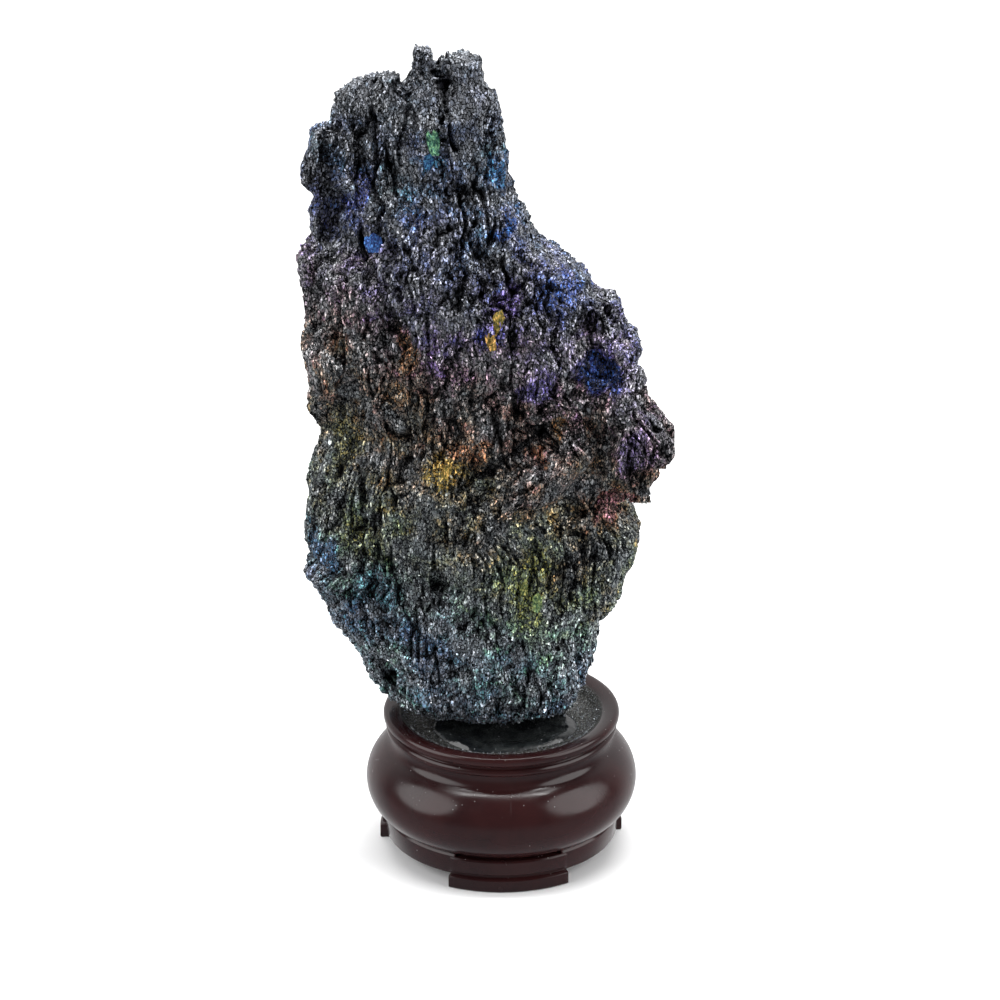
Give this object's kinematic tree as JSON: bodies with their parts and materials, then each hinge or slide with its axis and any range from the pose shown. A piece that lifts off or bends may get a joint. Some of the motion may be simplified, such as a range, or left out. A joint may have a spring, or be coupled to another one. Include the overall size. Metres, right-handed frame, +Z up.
{
  "type": "iridescent carborundum specimen on a display stand",
  "caption": "Tall, craggy slab of iridescent dark crystal, glued upright in the dish of a small round glossy moulded stand with low feet.",
  "frame": {"origin": "under the centre of the whole piece, on the surface that the stand's feet rest on", "axes": "+Z up along the specimen, -Y the way its broad colourful face looks, +X to that face's right"},
  "size_m": [0.0802, 0.0604, 0.1852],
  "materials": {
    "moulding": "polished dark red-brown moulding",
    "adhesive": "set pool of glossy grey-black adhesive",
    "crystal": "glittering grey-black crystal with thin-film patches of blue, purple, gold and green"
  },
  "bodies": {
    "root": {"stand": "moulding", "glue_bed": "adhesive", "carborundum_specimen": "crystal"}
  },
  "joints": []
}
